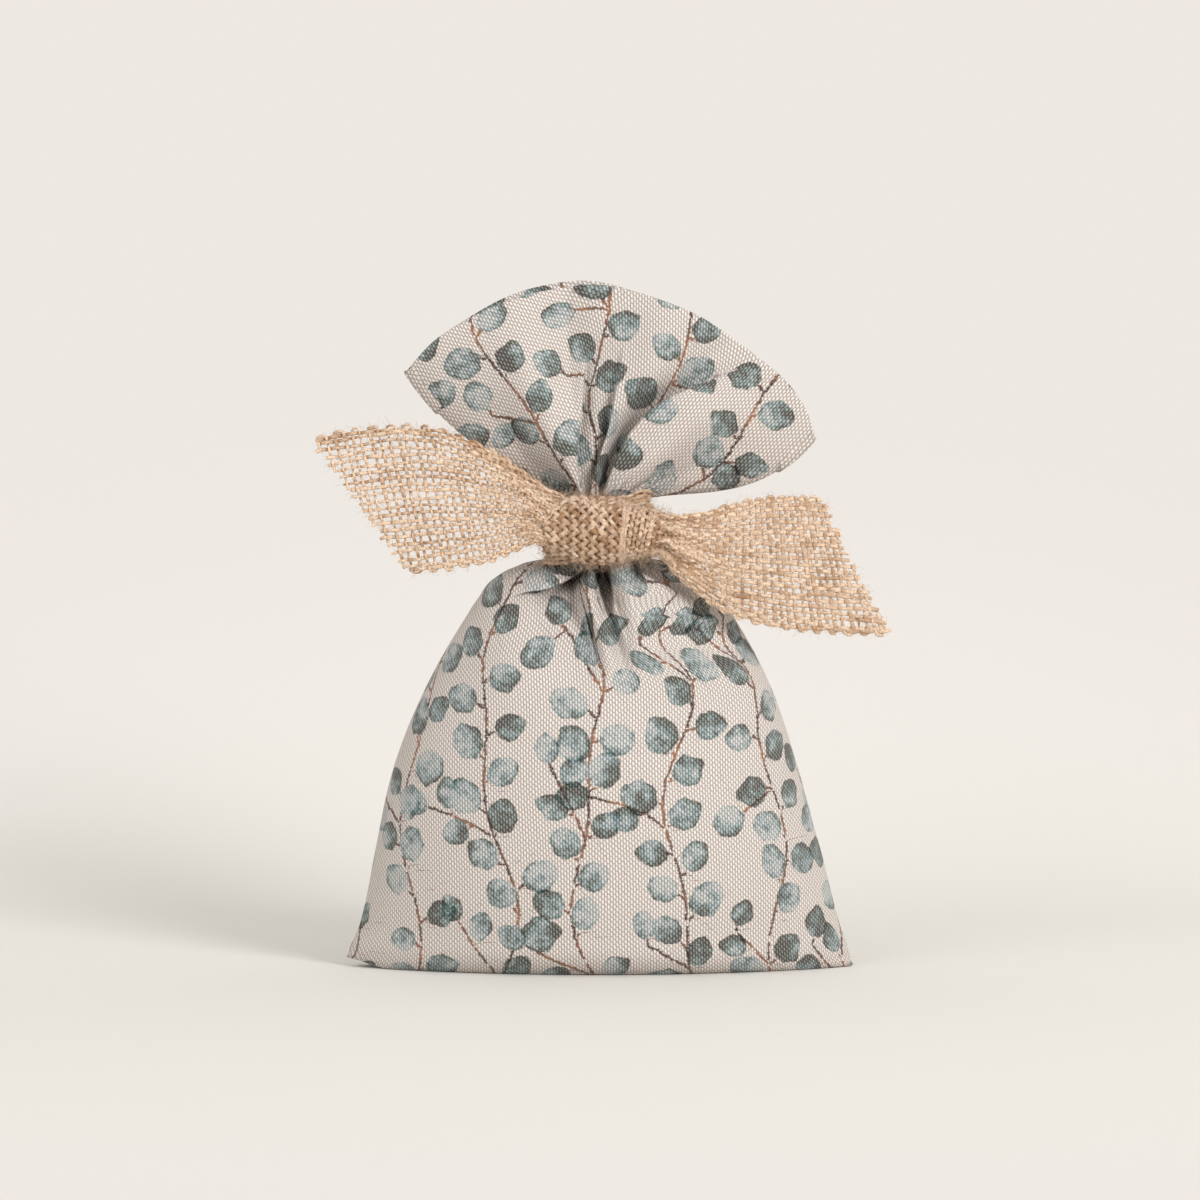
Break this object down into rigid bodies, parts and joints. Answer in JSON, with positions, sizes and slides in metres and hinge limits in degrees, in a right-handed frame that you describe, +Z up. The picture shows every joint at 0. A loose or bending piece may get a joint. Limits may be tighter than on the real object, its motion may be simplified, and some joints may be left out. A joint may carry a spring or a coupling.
{
  "type": "scented sachet",
  "caption": "Standing cloth scent sachet with a gathered frilled top, tied round the neck with a knotted open-weave jute ribbon.",
  "frame": {"origin": "on the ground, under the middle of the part's bounding box, close below the neck", "axes": "+Z up; -Y towards the knot and the viewer; +X to the viewer's right"},
  "size_m": [0.1693, 0.0758, 0.2045],
  "materials": {
    "printed_cotton": "undyed cotton canvas with a printed sprig pattern in blue-green and brown",
    "jute_ribbon": "open-weave natural jute",
    "sewing_thread": "spun cotton thread",
    "pouch_nonwoven": "white nonwoven",
    "granules": "loose scented granules"
  },
  "bodies": {
    "bag": {"front_panel": "printed_cotton", "back_panel": "printed_cotton", "needle_thread": "sewing_thread", "bobbin_thread": "sewing_thread", "pouch_front": "pouch_nonwoven", "pouch_back": "pouch_nonwoven", "scented_granules": "granules", "ribbon_neck_band": "jute_ribbon", "ribbon_knot": "jute_ribbon"},
    "frill": {"front_frill": "printed_cotton", "back_frill": "printed_cotton"},
    "tail_left": {"ribbon_tail_left": "jute_ribbon"},
    "tail_right": {"ribbon_tail_right": "jute_ribbon"}
  },
  "joints": [
    {"name": "frill_bend", "type": "hinge", "parent": "bag", "child": "frill", "pos_m": [0, 0, 0.1436], "axis": [1, 0, 0], "range_deg": [-16, 14], "stiffness_Nm_per_rad": 0.05},
    {"name": "tail_left_swing", "type": "hinge", "parent": "bag", "child": "tail_left", "pos_m": [-0.0179, -0.0194, 0.1293], "axis": [0, 0, 1], "range_deg": [-8, 38], "stiffness_Nm_per_rad": 0.003},
    {"name": "tail_right_swing", "type": "hinge", "parent": "bag", "child": "tail_right", "pos_m": [0.0269, -0.0194, 0.1293], "axis": [0, 0, 1], "range_deg": [-38, 8], "stiffness_Nm_per_rad": 0.003}
  ]
}
